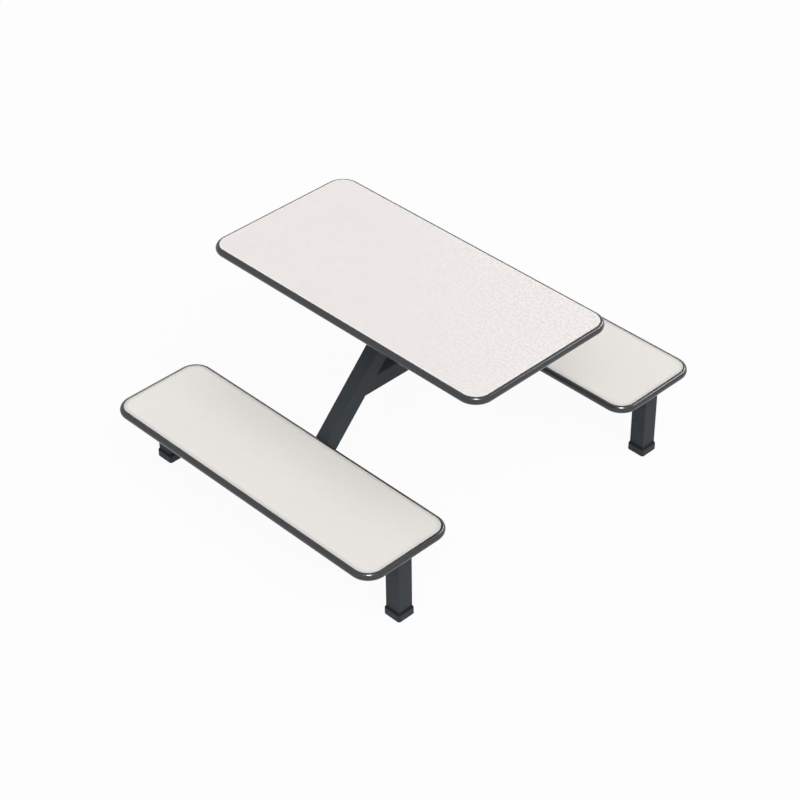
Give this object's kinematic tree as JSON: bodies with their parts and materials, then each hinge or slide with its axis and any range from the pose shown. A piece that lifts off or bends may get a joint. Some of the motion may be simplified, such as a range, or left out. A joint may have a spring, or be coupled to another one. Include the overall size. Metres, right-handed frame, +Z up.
{
  "type": "kids desk with seats",
  "caption": "Low rectangular desk with a bench seat on each long side, boards with dark half-round edge bands, on one painted square-tube frame with plastic foot caps.",
  "frame": {"origin": "on the floor, under the middle of the tabletop", "axes": "+X along the tabletop and the seats, +Y from the near seat to the far seat, +Z up"},
  "size_m": [0.9, 1.11, 0.514],
  "materials": {
    "board_core": "raw particle board",
    "table_laminate": "white laminate with a fine pebble",
    "seat_laminate": "white laminate, satin",
    "backer_sheet": "matt backing sheet",
    "edge_band": "charcoal satin plastic",
    "frame_paint": "dark slate powder coat, satin",
    "foot_plastic": "charcoal moulded plastic",
    "black_plastic": "black moulded plastic",
    "zinc_steel": "bright zinc plate"
  },
  "bodies": {
    "root": {"tabletop_core": "board_core", "tabletop_laminate": "table_laminate", "tabletop_backer": "backer_sheet", "tabletop_edge_band": "edge_band", "near_seat_core": "board_core", "near_seat_laminate": "seat_laminate", "near_seat_backer": "backer_sheet", "near_seat_edge_band": "edge_band", "far_seat_core": "board_core", "far_seat_laminate": "seat_laminate", "far_seat_backer": "backer_sheet", "far_seat_edge_band": "edge_band", "near_strut": "frame_paint", "far_strut": "frame_paint", "near_seat_arm": "frame_paint", "far_seat_arm": "frame_paint", "crossbar": "frame_paint", "king_post": "frame_paint", "left_spine": "frame_paint", "right_spine": "frame_paint", "left_spine_plug": "black_plastic", "right_spine_plug": "black_plastic", "head_plate": "frame_paint", "left_bearer": "frame_paint", "right_bearer": "frame_paint", "near_seat_rail": "frame_paint", "far_seat_rail": "frame_paint", "near_seat_plate": "frame_paint", "far_seat_plate": "frame_paint", "near_left_leg": "frame_paint", "near_right_leg": "frame_paint", "far_left_leg": "frame_paint", "far_right_leg": "frame_paint", "near_left_leg_plate": "frame_paint", "near_right_leg_plate": "frame_paint", "far_left_leg_plate": "frame_paint", "far_right_leg_plate": "frame_paint", "near_left_foot_cap": "foot_plastic", "near_right_foot_cap": "foot_plastic", "far_left_foot_cap": "foot_plastic", "far_right_foot_cap": "foot_plastic", "near_flange": "frame_paint", "far_flange": "frame_paint", "near_flange_bolts": "zinc_steel", "far_flange_bolts": "zinc_steel", "near_flange_nuts": "zinc_steel", "far_flange_nuts": "zinc_steel", "near_flange_washers": "zinc_steel", "far_flange_washers": "zinc_steel", "tabletop_screws": "zinc_steel", "near_seat_screws": "zinc_steel", "far_seat_screws": "zinc_steel"}
  },
  "joints": []
}
